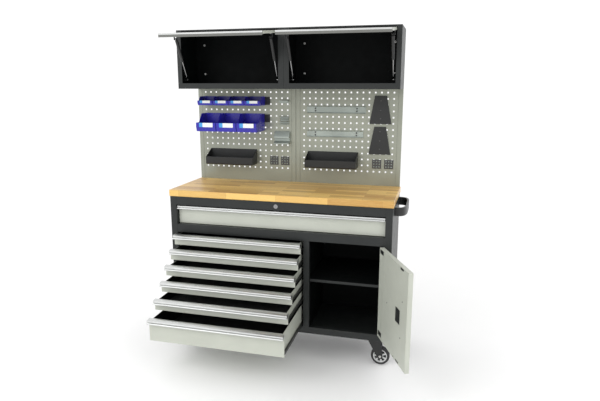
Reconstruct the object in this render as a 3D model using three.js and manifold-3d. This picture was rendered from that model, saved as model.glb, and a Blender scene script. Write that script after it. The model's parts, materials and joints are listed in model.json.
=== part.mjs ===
// Mobile workshop bench: drawers and a cupboard under a wooden top, a tool wall and two flip-up cabinets.
// Millimetres, +Z up, front towards -Y. The origin is on the floor under the middle of the base.
import * as THREE from "three";
import { mergeVertices } from "three/addons/utils/BufferGeometryUtils.js";
import Module from "manifold-3d";

const wasm = await Module();
wasm.setup();

// General
const FIT = 0.3; // gap between pieces that meet
const SHEET = 2; // steel sheet of the cabinets
const THIN = 1.5; // steel sheet of drawers, door and lids

// Base cabinet
const BASE_WIDTH = 1360;
const BASE_DEPTH = 480;
const BASE_BOTTOM = 172;
const BASE_HEIGHT = 805;
const STILE = 39;
const FOLD_DEPTH = 28;
const RAIL_LIP = 26;
const BOTTOM_RAIL = 41;
const MIDDLE_RAIL = 51;
const TOP_RAIL = 52;
const TOP_OPENING = 121; // height of the top drawer's opening
const DIVIDER_X = 167;
const DIVIDER_WIDTH = 35;

// Worktop
const TOP_THICK = 40;
const TOP_SIDE_OVERHANG = 4;
const TOP_FRONT_OVERHANG = 3;
const TOP_ROUND = 4;

// Drawers
const DRAWER_RECESS = 30;
const DRAWER_SIDE_GAP = 3;
const PANEL_FOLD = 14;
const BOX_INSET = 13;
const BOX_FRONT = 10;
const BOX_RISE = 19; // box wall above the top of the front panel
const BOX_BACK_GAP = 3;
const PULL_HEIGHT = 27;
const PULL_REACH = 29;
const PULL_SEAT = 8; // pull behind the face of the front panel
const PULL_NOSE = 9;
const PULL_ROUND = 2.5;
const PULL_GROOVE = 4;
const PULL_GROOVE_DEPTH = 12;
const PULL_STEP = 5;
const PULL_SLOPE = 7;
const SMALL_GAP = 12.3;
const DEEP_GAP = 20.8;
const DEEP_PANEL = 108;
const DRAWER_LIFT = 1.5;
const DRAWER_OPEN = [79, 138, 204, 268, 352, 428];
const RUNNER_START = 15;
const RUNNER_TAIL = 2; // runner behind the drawer box
const RUNNER_REACH = 11;
const RUNNER_HALF = 7;
const RUNNER_CENTRE = 14;
const CHANNEL_WALL = 1.5;
const CHANNEL_GAP = 1.5;
const BRACKET_WIDTH = 30;

// Cupboard
const DOOR_THICK = 24;
const DOOR_GAP = 2;
const DOOR_OPEN = 115;
const DOOR_PIVOT_IN = 3.5;
const DOOR_PIN = 2;
const DOOR_HINGE_EDGE = 0.5; // door past its hinge line
const LUG = 1.2;
const LUG_REACH = 11;
const LUG_DEPTH = 10;
const LUG_FRONT = 4;
const GRIP_FROM_HINGE = 272;
const GRIP_WIDTH = 63;
const GRIP_BOTTOM = 219;
const GRIP_HEIGHT = 81;
const GRIP_WALL = 3;
const SHELF_UP = 298;
const SHELF_LIP = 16;

// Lock and push handle
const LOCK_RADIUS = 10;
const LOCK_RIM = 13;
const LOCK_DROP = 27;
const LOCK_LENGTH = 18;
const LOCK_CAM_WIDTH = 8;
const LOCK_CAM_REACH = 16;
const KEYWAY_WIDTH = 2;
const KEYWAY_HEIGHT = 8;
const PUSH_LOW = 72;
const PUSH_HEIGHT = 50;
const PUSH_REACH = 68;
const PUSH_SPAN = 320;
const PUSH_CENTRE_Y = 45;
const PUSH_BAR = 12;
const PUSH_SQUARENESS = 3.5; // 2 would bow it as half an ellipse
const PUSH_STEPS = 24;

// Wheels
const WHEEL_RADIUS = 56;
const WHEEL_WIDTH = 36;
const WHEEL_SIDES = 24;
const WHEEL_HUB = 16;
const WHEEL_RIM = 42.5;
const WHEEL_DISH = 7; // web behind the faces of hub and rim
const TYRE_INSET = 1;
const TYRE_ROUND = 6;
const AXLE_RADIUS = 6;
const CASTER_SIDE = 82; // from the side of the base
const CASTER_END = 62; // from its front and back
const CASTER_TRAIL = 33;
const CASTER_PLATE = [84, 90, 5];
const FORK_HEAD = 12;
const FORK_LEG = 4;
const FORK_GAP = 2;
const FORK_TIP = 16; // half the width of a leg at the axle
const FORK_DROP = 14; // leg below the axle
const FORK_CHAMFER = 7;
const SWIVEL_HEAD = 42;
const SWIVEL_LEG = 38; // half the width of a leg at its head
const FIXED_LEG = 32;

// Tool wall
const WALL_DEPTH = 22;
const WALL_EDGE = 1;
const WALL_SHEET = 2;
const WALL_RISE = 951;
const WALL_REBATE = 4; // seat of the wall in the worktop

// Upper cabinets
const CABINET_UP = 605; // underside above the worktop
const CABINET_HEIGHT = 348;
const CABINET_DEPTH = 279;
const CABINET_STILE = 28;
const CABINET_MIDDLE = 33;
const CABINET_SILL = 33;
const CABINET_LIP = 8;

// Lids and struts
const LID_THICK = 16;
const LID_GAP = 2.5;
const LID_LENGTH = 288;
const LID_OPEN = 84;
const LID_PIVOT_DROP = 20;
const LID_PIVOT_BACK = 11;
const LID_PIN = 3;
const LID_EDGE = 22; // depth of the folded grip edge
const LID_EDGE_HEIGHT = 14;
const STRUT_IN = 13;
const STRUT_FOOT = [42, 53]; // behind the cabinet's front, above its underside
const STRUT_HEAD = [28, 102]; // behind the lid's middle, below its pivot
const STRUT_EYE = 6;
const STRUT_EYE_THICK = 6;
const STRUT_STUD = 3;
const ROD_RADIUS = 4;
const ROD_LENGTH = 150;
const TUBE_RADIUS = 9;
const TUBE_BORE = 5;
const TUBE_LENGTH = 145;
const TUBE_CROWN = 20;
const NECK_RADIUS = 3;
const NECK_LENGTH = 8;
const EAR_THICK = 3;

// Bins, trays and holders on the wall
const BIN_WALL = 2;
const BIN_GAP = 4;
const BIN_TOE = 8;
const BIN_STRIP = 12; // strip that joins the bins at the back
const BIN_RAIL_THICK = 4;
const SMALL_BINS = { count: 4, width: 104, depth: 110, height: 56, lip: 30, scoop: 22, left: -635, up: 499 };
const LARGE_BINS = { count: 3, width: 135, depth: 165, height: 111, lip: 56, scoop: 45, left: -625, up: 334 };
const SMALL_RAIL = { right: -172.5, up: 501, height: 51 };
const LARGE_RAIL = { right: -175, up: 388, height: 52 };
const TRAY = { width: 328, depth: 97, backHeight: 98, frontHeight: 50, wall: 3, toe: 6, up: 111 };
const TRAY_LEFT_X = -597;
const TRAY_RIGHT_X = 82;
const HOLDER = { x: 545, top: 73, bottom: 136, height: 173, thick: 8 };
const HOLDER_UP = [390, 200];
const HOLDER_HOLES = [30, 88, 140];
const HOLDER_HOLE = 3;

// Places worked out from the sizes above
const half = BASE_WIDTH / 2;
const front = -BASE_DEPTH / 2;
const back = BASE_DEPTH / 2;
const baseTop = BASE_BOTTOM + BASE_HEIGHT;
const opening = half - STILE;
const inner = half - SHEET - FIT;
const bankBottom = BASE_BOTTOM + BOTTOM_RAIL;
const bankHeight = BASE_HEIGHT - BOTTOM_RAIL - MIDDLE_RAIL - TOP_RAIL - TOP_OPENING;
const bankTop = bankBottom + bankHeight;
const deckTop = bankTop + MIDDLE_RAIL;
const dividerRight = DIVIDER_X + DIVIDER_WIDTH;
const webX = DIVIDER_X + DIVIDER_WIDTH / 2;
const insideBack = back - SHEET - FIT;
const insideFront = front + FOLD_DEPTH + FIT;
const topBottom = baseTop + FIT;
const worktopTop = topBottom + TOP_THICK;
const wallBottom = worktopTop + FIT;
const wallFoot = wallBottom - WALL_REBATE;
const wallFront = back - WALL_DEPTH;
const cabinetBottom = wallBottom + CABINET_UP;
const cabinetTop = cabinetBottom + CABINET_HEIGHT;
const cabinetBack = wallFront - FIT;
const cabinetFront = cabinetBack - CABINET_DEPTH;
const boxLength = BASE_DEPTH - DRAWER_RECESS - SHEET - BOX_BACK_GAP;
const panelY = front + DRAWER_RECESS;
const topPanel = TOP_OPENING - 2 * DRAWER_LIFT - PULL_HEIGHT;
const smallCount = DRAWER_OPEN.length - 1;
const smallRoom = bankHeight - 2 * DRAWER_LIFT - DEEP_PANEL - PULL_HEIGHT - DEEP_GAP;
const smallPitch = (smallRoom + SMALL_GAP) / smallCount;
const smallPanel = smallPitch - PULL_HEIGHT - SMALL_GAP;
const casterX = half - CASTER_SIDE;
const casterY = back - CASTER_END;
const radians = THREE.MathUtils.degToRad;
const SMALL_SIDES = 12; // facets of pins, rods and struts

function span(a, b) {
  return [Math.min(a, b), Math.max(a, b)];
}

function mirrored(sign, from, to) {
  return span(sign * from, sign * to);
}

// Solids from three.js geometry
const X = new THREE.Vector3(1, 0, 0);
const Y = new THREE.Vector3(0, 1, 0);
const Z = new THREE.Vector3(0, 0, 1);
const turnZ = {
  x: new THREE.Matrix4().makeBasis(Y, Z, X),
  y: new THREE.Matrix4().makeBasis(Z, X, Y),
  z: new THREE.Matrix4().makeBasis(X, Y, Z),
};

function block([x0, x1], [y0, y1], [z0, z1]) {
  const box = new THREE.BoxGeometry(x1 - x0, y1 - y0, z1 - z0);
  return box.translate((x0 + x1) / 2, (y0 + y1) / 2, (z0 + z1) / 2);
}

// An outline is in (y, z) along x, in (x, z) along y and in (x, y) along z.
function prism(axis, outline, [from, to]) {
  const corners = outline.map(([a, b]) => (axis === "y" ? new THREE.Vector2(b, a) : new THREE.Vector2(a, b)));
  const shape = new THREE.Shape(corners);
  const solid = new THREE.ExtrudeGeometry(shape, { depth: to - from, bevelEnabled: false });
  return solid.translate(0, 0, from).applyMatrix4(turnZ[axis]);
}

function rod(axis, radius, [from, to], [x, y, z] = [0, 0, 0], sides = 16) {
  const solid = new THREE.CylinderGeometry(radius, radius, to - from, sides);
  solid.rotateX(Math.PI / 2).translate(0, 0, (from + to) / 2);
  return solid.applyMatrix4(turnZ[axis]).translate(x, y, z);
}

function solidOf(geometry) {
  const bare = geometry.clone();
  bare.deleteAttribute("normal");
  bare.deleteAttribute("uv");
  const welded = mergeVertices(bare, 1e-4);
  const vertProperties = new Float32Array(welded.attributes.position.array);
  const triVerts = new Uint32Array(welded.index.array);
  return new wasm.Manifold(new wasm.Mesh({ numProp: 3, vertProperties, triVerts }));
}

function geometryOf(solid) {
  const mesh = solid.getMesh();
  const geometry = new THREE.BufferGeometry();
  geometry.setAttribute("position", new THREE.BufferAttribute(mesh.vertProperties, 3));
  geometry.setIndex(new THREE.BufferAttribute(mesh.triVerts, 1));
  geometry.computeVertexNormals();
  return geometry;
}

function join(...pieces) {
  return geometryOf(pieces.map(solidOf).reduce((whole, piece) => whole.add(piece)));
}

function cut(body, ...tools) {
  return geometryOf(tools.map(solidOf).reduce((whole, tool) => whole.subtract(tool), solidOf(body)));
}

// Materials
function finish(color, roughness, metalness) {
  return () => new THREE.MeshStandardMaterial({ color, roughness, metalness });
}
const charcoal = finish(0x444646, 0.45, 0.2);
const lightGrey = finish(0xb7bcac, 0.4, 0.15);
const aluminium = finish(0xd2d4d2, 0.3, 0.9);
const steel = finish(0xc4c4c0, 0.3, 0.9);
const wood = finish(0xb98445, 0.45, 0);
const wallGrey = finish(0x96948a, 0.4, 0.5);
const blackPlastic = finish(0x1c1e1e, 0.5, 0);
const bluePlastic = finish(0x2320a0, 0.4, 0);
const rubber = finish(0x2a2a2a, 0.8, 0);

const bench = new THREE.Group();

function place(name, geometry, material, parent = bench) {
  const mesh = new THREE.Mesh(geometry, material());
  mesh.name = name;
  parent.add(mesh);
  return mesh;
}

function groupAt(x, y, z) {
  const group = new THREE.Group();
  group.position.set(x, y, z);
  bench.add(group);
  return group;
}

// Base cabinet: folded sides, floor and deck with their front rails, top rail, divider and back
function baseSide(sign) {
  const outline = [
    [half, back],
    [half, front],
    [opening, front],
    [opening, front + FOLD_DEPTH],
    [opening + SHEET, front + FOLD_DEPTH],
    [opening + SHEET, front + SHEET],
    [half - SHEET, front + SHEET],
    [half - SHEET, back],
  ];
  return prism("z", outline.map(([x, y]) => [sign * x, y]), [BASE_BOTTOM, baseTop]);
}

function doorLug(bottom) {
  const reach = [opening - LUG_REACH, opening + SHEET / 2];
  const plate = block(reach, [front - LUG_FRONT, front + LUG_DEPTH], [bottom, bottom + LUG]);
  const hole = rod("z", DOOR_PIN + FIT, [bottom - LUG, bottom + 2 * LUG], [doorPivotX, doorPivotY, 0]);
  return cut(plate, hole);
}

function deckWithRail(bottom, railHeight) {
  const top = bottom + railHeight;
  const outline = [
    [front, bottom],
    [insideFront + SHEET, bottom],
    [insideFront + SHEET, bottom + SHEET],
    [front + SHEET, bottom + SHEET],
    [front + SHEET, top - SHEET],
    [front + RAIL_LIP, top - SHEET],
    [front + RAIL_LIP, top],
    [front, top],
  ];
  const rail = prism("x", outline, [-opening + FIT, opening - FIT]);
  const deck = block([-inner, inner], [insideFront, insideBack], [bottom, bottom + SHEET]);
  return join(rail, deck);
}

function casterPlate(x, y, top) {
  const [length, width, thick] = CASTER_PLATE;
  return block([x - length / 2, x + length / 2], [y - width / 2, y + width / 2], [top - thick, top]);
}

function topRail() {
  const bottom = baseTop - TOP_RAIL;
  const top = baseTop;
  const outline = [
    [front, bottom],
    [front + RAIL_LIP, bottom],
    [front + RAIL_LIP, bottom + SHEET],
    [front + SHEET, bottom + SHEET],
    [front + SHEET, top - SHEET],
    [front + RAIL_LIP, top - SHEET],
    [front + RAIL_LIP, top],
    [front, top],
  ];
  const rail = prism("x", outline, [-opening + FIT, opening - FIT]);
  return cut(rail, rod("y", LOCK_RADIUS + FIT, [front - SHEET, front + 2 * SHEET], [0, 0, lockZ]));
}

function divider() {
  const lip = front + FOLD_DEPTH;
  const outline = [
    [DIVIDER_X, front],
    [dividerRight, front],
    [dividerRight, lip],
    [dividerRight - SHEET, lip],
    [dividerRight - SHEET, front + SHEET],
    [DIVIDER_X + SHEET, front + SHEET],
    [DIVIDER_X + SHEET, lip],
    [DIVIDER_X, lip],
  ];
  const height = [bankBottom + FIT, bankTop - FIT];
  const stile = prism("z", outline, height);
  const thick = [webX - SHEET / 2, webX + SHEET / 2];
  const web = block(thick, [front + SHEET / 2, insideBack], height);
  const footHeight = [BASE_BOTTOM + SHEET + FIT, bankBottom + 2 * FIT];
  const foot = block(thick, [front + RAIL_LIP + FIT, insideBack], footHeight);
  return join(stile, web, foot);
}

// Runner channels: open towards the drawer box, a is the distance out from the box side
function channel(boxSide, outward, z) {
  const near = CHANNEL_GAP;
  const web = RUNNER_REACH + FIT;
  const far = web + CHANNEL_WALL;
  const low = RUNNER_HALF + FIT;
  const high = low + CHANNEL_WALL;
  const outline = [
    [near, high],
    [far, high],
    [far, -high],
    [near, -high],
    [near, -low],
    [web, -low],
    [web, low],
    [near, low],
  ];
  const placed = outline.map(([a, h]) => [boxSide + outward * a, z + h]);
  return prism("y", placed, [panelY + RUNNER_START, insideBack - FIT]);
}

const channelBack = RUNNER_REACH + FIT + CHANNEL_WALL / 2;
const bracketRows = [panelY + RUNNER_START + BRACKET_WIDTH, insideBack - BRACKET_WIDTH];

function ladder(boxSide, outward, wallX, heights) {
  const rungs = heights.map((z) => channel(boxSide, outward, z + RUNNER_CENTRE));
  const xs = span(boxSide + outward * channelBack, wallX);
  const zs = [BASE_BOTTOM + SHEET + FIT, bankTop - FIT];
  const posts = bracketRows.map((y) => block(xs, [y - BRACKET_WIDTH / 2, y + BRACKET_WIDTH / 2], zs));
  return join(...posts, ...rungs);
}

function deckRunner(outward) {
  const boxSide = outward * (opening - DRAWER_SIDE_GAP - BOX_INSET);
  const z = deckTop + DRAWER_LIFT + RUNNER_CENTRE;
  const xs = span(boxSide + outward * channelBack, boxSide + outward * (channelBack + BRACKET_WIDTH));
  const zs = [bankTop + SHEET / 2, z];
  const posts = bracketRows.map((y) => block(xs, [y - BRACKET_WIDTH / 2, y + BRACKET_WIDTH / 2], zs));
  return [channel(boxSide, outward, z), ...posts];
}

// Drawers: local origin at the bottom middle of the front panel's face
function drawerBody(width, panelHeight) {
  const side = width / 2;
  const boxSide = side - BOX_INSET;
  const outline = [
    [0, 0],
    [PANEL_FOLD, 0],
    [PANEL_FOLD, THIN],
    [THIN, THIN],
    [THIN, panelHeight - THIN],
    [PANEL_FOLD, panelHeight - THIN],
    [PANEL_FOLD, panelHeight],
    [0, panelHeight],
  ];
  const panel = prism("x", outline, [-side, side]);
  const boxTop = panelHeight + BOX_RISE;
  const box = cut(
    block([-boxSide, boxSide], [BOX_FRONT, boxLength], [THIN, boxTop]),
    block([-boxSide + THIN, boxSide - THIN], [BOX_FRONT + THIN, boxLength - THIN], [2 * THIN, boxTop + THIN])
  );
  const heights = [RUNNER_CENTRE - RUNNER_HALF, RUNNER_CENTRE + RUNNER_HALF];
  const length = [RUNNER_START, boxLength + RUNNER_TAIL];
  const left = block([-boxSide - RUNNER_REACH, -boxSide + THIN], length, heights);
  const right = block([boxSide - THIN, boxSide + RUNNER_REACH], length, heights);
  return join(panel, box, left, right);
}

function drawerPull(width, panelHeight) {
  const rise = PULL_HEIGHT - FIT;
  const outline = [
    [PULL_SEAT, 0],
    [-PULL_REACH + PULL_ROUND, 0],
    [-PULL_REACH, PULL_ROUND],
    [-PULL_REACH, PULL_NOSE - PULL_ROUND],
    [-PULL_REACH + PULL_ROUND, PULL_NOSE],
    [-PULL_REACH + PULL_GROOVE_DEPTH, PULL_NOSE],
    [-PULL_REACH + PULL_GROOVE_DEPTH, PULL_NOSE + PULL_GROOVE],
    [-PULL_REACH + PULL_STEP, PULL_NOSE + PULL_GROOVE],
    [-PULL_REACH + PULL_STEP, rise - PULL_SLOPE],
    [-PULL_SEAT, rise],
    [PULL_SEAT, rise],
  ];
  const bottom = panelHeight + FIT;
  return prism("x", outline.map(([y, z]) => [y, bottom + z]), [-width / 2, width / 2]);
}

function addDrawer(name, centreX, width, bottom, panelHeight, out) {
  const group = groupAt(centreX, panelY - out, bottom);
  place(name, drawerBody(width, panelHeight), lightGrey, group);
  place(`${name}_pull`, drawerPull(width, panelHeight), aluminium, group);
}

// Cupboard door: local origin on the hinge line at the bottom, closed along -x
const doorPivotX = opening - DOOR_PIVOT_IN;
const doorPivotY = front;
const doorWidth = doorPivotX - dividerRight - DOOR_GAP;
const doorBottom = bankBottom + DOOR_GAP;
const doorHeight = bankHeight - 2 * DOOR_GAP;
const lugPlay = (DOOR_GAP - LUG) / 2;

function doorPanel() {
  const faces = [0, DOOR_THICK];
  const shell = block([-doorWidth, DOOR_HINGE_EDGE], faces, [0, doorHeight]);
  const hollow = block(
    [-doorWidth + THIN, -LUG_REACH],
    [faces[0] + THIN, faces[1] - THIN],
    [-THIN, doorHeight - THIN]
  );
  const grip = block(
    [-GRIP_FROM_HINGE - GRIP_WIDTH, -GRIP_FROM_HINGE],
    [faces[0] - THIN, faces[1] + THIN],
    [GRIP_BOTTOM, GRIP_BOTTOM + GRIP_HEIGHT]
  );
  const pinReach = DOOR_GAP - lugPlay - FIT;
  const pins = [
    rod("z", DOOR_PIN, [-pinReach, LUG]),
    rod("z", DOOR_PIN, [doorHeight - LUG, doorHeight + pinReach]),
  ];
  return join(cut(shell, hollow, grip), ...pins);
}

function doorGrip() {
  const faces = [0, DOOR_THICK];
  const left = -GRIP_FROM_HINGE - GRIP_WIDTH + FIT;
  const right = -GRIP_FROM_HINGE - FIT;
  const bottom = GRIP_BOTTOM + FIT;
  const top = GRIP_BOTTOM + GRIP_HEIGHT - FIT;
  return cut(
    block([left, right], faces, [bottom, top]),
    block(
      [left + GRIP_WALL, right - GRIP_WALL],
      [faces[0] - GRIP_WALL, faces[1] - GRIP_WALL],
      [bottom + GRIP_WALL, top - GRIP_WALL]
    )
  );
}

function cupboardShelf() {
  const top = bankBottom + SHELF_UP;
  const outline = [
    [insideFront, top],
    [insideFront, top - SHELF_LIP],
    [insideFront + SHEET, top - SHELF_LIP],
    [insideFront + SHEET, top - SHEET],
    [insideBack, top - SHEET],
    [insideBack, top],
  ];
  return prism("x", outline, [webX + SHEET / 2 + FIT, inner]);
}

// Lock in the top rail, and push handle on the right side
const lockZ = baseTop - LOCK_DROP;

function lockCylinder() {
  const face = front - SHEET - FIT;
  const tail = front + LOCK_LENGTH;
  const barrel = rod("y", LOCK_RADIUS, [front - SHEET, tail], [0, 0, lockZ]);
  const rim = rod("y", LOCK_RIM, [face, front - FIT], [0, 0, lockZ]);
  const camHeight = [lockZ, lockZ + LOCK_CAM_REACH];
  const cam = block([-LOCK_CAM_WIDTH / 2, LOCK_CAM_WIDTH / 2], [tail - SHEET, tail], camHeight);
  const keyway = block(
    [-KEYWAY_WIDTH / 2, KEYWAY_WIDTH / 2],
    [face - SHEET, face + SHEET / 2],
    [lockZ - KEYWAY_HEIGHT / 2, lockZ + KEYWAY_HEIGHT / 2]
  );
  return cut(join(barrel, rim, cam), keyway);
}

// Half a squared ellipse that bows out from the right side, seen from above
function bow(reach, halfSpan) {
  const points = [];
  for (let i = 0; i <= PUSH_STEPS; i += 1) {
    const angle = Math.PI * (i / PUSH_STEPS - 0.5);
    const out = Math.max(Math.cos(angle), 0) ** (2 / PUSH_SQUARENESS);
    const along = Math.sign(angle) * Math.abs(Math.sin(angle)) ** (2 / PUSH_SQUARENESS);
    points.push([half + FIT + reach * out, PUSH_CENTRE_Y + halfSpan * along]);
  }
  return points;
}

function pushHandle() {
  const outside = bow(PUSH_REACH, PUSH_SPAN / 2);
  const inside = bow(PUSH_REACH - PUSH_BAR, PUSH_SPAN / 2 - PUSH_BAR);
  const low = baseTop - PUSH_LOW;
  return prism("z", [...outside, ...inside.reverse()], [low, low + PUSH_HEIGHT]);
}

// Wheels and forks: local origin at the middle of the axle
const axleHalf = WHEEL_WIDTH / 2 + FORK_GAP + FORK_LEG;
const plateTop = BASE_BOTTOM + SHEET / 2;
const headTop = plateTop - CASTER_PLATE[2] - FIT - WHEEL_RADIUS;

function wheel() {
  const side = WHEEL_WIDTH / 2;
  const bore = AXLE_RADIUS + FIT;
  const web = side - WHEEL_DISH;
  const flank = side - TYRE_INSET;
  const profile = [
    [bore, -side],
    [WHEEL_HUB, -side],
    [WHEEL_HUB, -web],
    [WHEEL_RIM, -web],
    [WHEEL_RIM, -flank],
    [WHEEL_RADIUS - TYRE_ROUND, -flank],
    [WHEEL_RADIUS, -flank + TYRE_ROUND],
    [WHEEL_RADIUS, flank - TYRE_ROUND],
    [WHEEL_RADIUS - TYRE_ROUND, flank],
    [WHEEL_RIM, flank],
    [WHEEL_RIM, web],
    [WHEEL_HUB, web],
    [WHEEL_HUB, side],
    [bore, side],
    [bore, -side],
  ];
  const outline = profile.map(([r, h]) => new THREE.Vector2(r, h));
  return new THREE.LatheGeometry(outline, WHEEL_SIDES);
}

function forkLegs(headX, headHalf, top) {
  const outline = [
    [headX - headHalf, top],
    [headX - headHalf, top - FORK_HEAD],
    [-FORK_TIP, -FORK_DROP + FORK_CHAMFER],
    [-FORK_TIP + FORK_CHAMFER, -FORK_DROP],
    [FORK_TIP - FORK_CHAMFER, -FORK_DROP],
    [FORK_TIP, -FORK_DROP + FORK_CHAMFER],
    [headX + headHalf, top - FORK_HEAD],
    [headX + headHalf, top],
  ];
  const legs = [-1, 1].map((side) => prism("y", outline, mirrored(side, axleHalf - FORK_LEG, axleHalf)));
  return [...legs, rod("y", AXLE_RADIUS, [-axleHalf, axleHalf])];
}

function swivelFork() {
  const head = rod("z", SWIVEL_HEAD, [headTop - FORK_HEAD, headTop], [-CASTER_TRAIL, 0, 0]);
  return join(head, ...forkLegs(-CASTER_TRAIL, SWIVEL_LEG, headTop - FORK_HEAD / 2));
}

function fixedBracket() {
  const top = BASE_BOTTOM - FIT - WHEEL_RADIUS;
  return join(casterPlate(0, 0, top), ...forkLegs(0, FIXED_LEG, top - CASTER_PLATE[2] / 2));
}

function addCasters() {
  for (const [end, sign] of [["front", -1], ["rear", 1]]) {
    const right = groupAt(casterX + CASTER_TRAIL, sign * casterY, WHEEL_RADIUS);
    place(`swivel_fork_${end}`, swivelFork(), blackPlastic, right);
    place(`swivel_wheel_${end}`, wheel(), rubber, right);
    const left = groupAt(-casterX, sign * casterY, WHEEL_RADIUS);
    place(`fixed_bracket_${end}`, fixedBracket(), blackPlastic, left);
    place(`fixed_wheel_${end}`, wheel(), rubber, left);
  }
}

// Tool wall: two pans, open at the back, that stand on the worktop
function wallPanel(sign) {
  const xs = mirrored(sign, WALL_EDGE, half - WALL_EDGE);
  const zs = [wallFoot, wallBottom + WALL_RISE];
  const pan = block(xs, [wallFront, back], zs);
  const hollow = block(
    [xs[0] + WALL_SHEET, xs[1] - WALL_SHEET],
    [wallFront + WALL_SHEET, back + WALL_SHEET],
    [zs[0] + WALL_SHEET, zs[1] - WALL_SHEET]
  );
  return cut(pan, hollow);
}

// Upper cabinets, built for the right side and mirrored for the left
const cabinetSide = FIT;
const lidPivotY = cabinetFront + LID_PIVOT_BACK;
const lidPivotZ = cabinetTop - LID_PIVOT_DROP;
const lidInner = CABINET_MIDDLE + LID_GAP;
const lidOuter = half - CABINET_STILE - LID_GAP;
const strutX = [lidInner + STRUT_IN, lidOuter - STRUT_IN];
const footY = cabinetFront + STRUT_FOOT[0];
const footZ = cabinetBottom + STRUT_FOOT[1];

function upperCabinet(sign) {
  const shell = block(
    mirrored(sign, cabinetSide, half),
    [cabinetFront, cabinetBack],
    [cabinetBottom, cabinetTop]
  );
  const hollow = block(
    mirrored(sign, cabinetSide + SHEET, half - SHEET),
    [cabinetFront + SHEET, cabinetBack - SHEET],
    [cabinetBottom + SHEET, cabinetTop - SHEET]
  );
  const mouth = block(
    mirrored(sign, CABINET_MIDDLE, half - CABINET_STILE),
    [cabinetFront - SHEET, cabinetFront + 2 * SHEET],
    [cabinetBottom + CABINET_SILL, cabinetTop - CABINET_LIP]
  );
  const tip = STRUT_EYE_THICK / 2 + SHEET;
  const reaches = [
    mirrored(sign, cabinetSide + SHEET / 2, strutX[0] + tip),
    mirrored(sign, strutX[1] - tip, half - SHEET / 2),
  ];
  const studs = reaches.map((reach) => rod("x", STRUT_STUD, reach, [0, footY, footZ], SMALL_SIDES));
  return join(cut(shell, hollow, mouth), ...studs);
}

// Lid: local origin on its pivot line, hanging down when closed
function lidPanel(sign) {
  const thick = LID_THICK / 2;
  const shell = block(mirrored(sign, lidInner, lidOuter), [-thick, thick], [-LID_LENGTH, thick]);
  const edge = block(
    mirrored(sign, lidInner, lidOuter),
    [-thick, LID_EDGE - thick],
    [-LID_LENGTH, -LID_LENGTH + LID_EDGE_HEIGHT]
  );
  const hollow = block(
    mirrored(sign, lidInner + THIN, lidOuter - THIN),
    [-thick + THIN, thick - THIN],
    [-LID_LENGTH + THIN, thick + THIN]
  );
  const reaches = [
    mirrored(sign, cabinetSide + SHEET + FIT, lidInner + THIN / 2),
    mirrored(sign, lidOuter - THIN / 2, half - SHEET - FIT),
  ];
  const pins = reaches.map((reach) => rod("x", LID_PIN, reach, [0, 0, 0], SMALL_SIDES));
  const beside = TUBE_RADIUS + FIT;
  const [depth, drop] = STRUT_HEAD;
  const earDepth = [thick - THIN, depth + STRUT_EYE];
  const earHeight = [-drop - STRUT_EYE, -drop + STRUT_EYE];
  const ears = [strutX[0] - beside - EAR_THICK, strutX[1] + beside].map((x) =>
    block(mirrored(sign, x, x + EAR_THICK), earDepth, earHeight)
  );
  return join(cut(join(shell, edge), hollow), ...pins, ...ears);
}

// Struts: local origin at the foot, along +z. The head follows the lid at its open and closed ends.
function headOffset(angle) {
  const [depth, drop] = STRUT_HEAD;
  const y = lidPivotY + depth * Math.cos(angle) - drop * Math.sin(angle) - footY;
  const z = lidPivotZ - depth * Math.sin(angle) - drop * Math.cos(angle) - footZ;
  return { length: Math.hypot(y, z), lean: Math.atan2(-y, z) };
}

const strutOpen = headOffset(radians(LID_OPEN));

function strutPiece(radius, from, to) {
  return rod("z", radius, [from, to], [0, 0, 0], SMALL_SIDES);
}

function eye(z) {
  return rod("x", STRUT_EYE, [-STRUT_EYE_THICK / 2, STRUT_EYE_THICK / 2], [0, 0, z], SMALL_SIDES);
}

function strutRod() {
  const hole = rod("x", STRUT_STUD + FIT, [-STRUT_EYE_THICK, STRUT_EYE_THICK], [0, 0, 0], SMALL_SIDES);
  return cut(join(eye(0), strutPiece(ROD_RADIUS, 0, ROD_LENGTH)), hole);
}

function strutTube() {
  const head = strutOpen.length;
  const low = head - TUBE_LENGTH;
  const tube = strutPiece(TUBE_RADIUS, low, head - NECK_LENGTH);
  const bore = strutPiece(TUBE_BORE, low - TUBE_BORE, head - TUBE_CROWN);
  const neck = strutPiece(NECK_RADIUS, head - NECK_LENGTH - NECK_RADIUS, head);
  const pin = rod("x", STRUT_STUD, [-TUBE_RADIUS, TUBE_RADIUS], [0, 0, head], SMALL_SIDES);
  return join(cut(tube, bore), neck, eye(head), pin);
}

function addUpper(side, sign) {
  place(`wall_panel_${side}`, wallPanel(sign), wallGrey);
  place(`upper_cabinet_${side}`, upperCabinet(sign), charcoal);
  const hinge = groupAt(0, lidPivotY, lidPivotZ);
  hinge.rotation.x = -radians(LID_OPEN);
  place(`lid_${side}`, lidPanel(sign), charcoal, hinge);
  for (const [where, x] of [["inner", strutX[0]], ["outer", strutX[1]]]) {
    const foot = groupAt(sign * x, footY, footZ);
    foot.rotation.x = strutOpen.lean;
    place(`strut_rod_${side}_${where}`, strutRod(), steel, foot);
    place(`strut_tube_${side}_${where}`, strutTube(), blackPlastic, foot);
  }
}

// Bins on their rails: (y, z) outlines from the back of a bin
function binOutline({ depth, height, lip, scoop }) {
  return [
    [0, 0],
    [-depth + BIN_TOE, 0],
    [-depth, lip / 2],
    [-depth, lip],
    [-depth + scoop, lip],
    [-depth + 2 * scoop, height],
    [0, height],
  ];
}

function binRoom({ depth, height, lip }) {
  return [
    [-BIN_WALL, BIN_WALL],
    [-depth + BIN_TOE + BIN_WALL, BIN_WALL],
    [-depth + BIN_WALL, lip / 2 + BIN_WALL / 2],
    [-depth + BIN_WALL, height + BIN_WALL],
    [-BIN_WALL, height + BIN_WALL],
  ];
}

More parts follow.
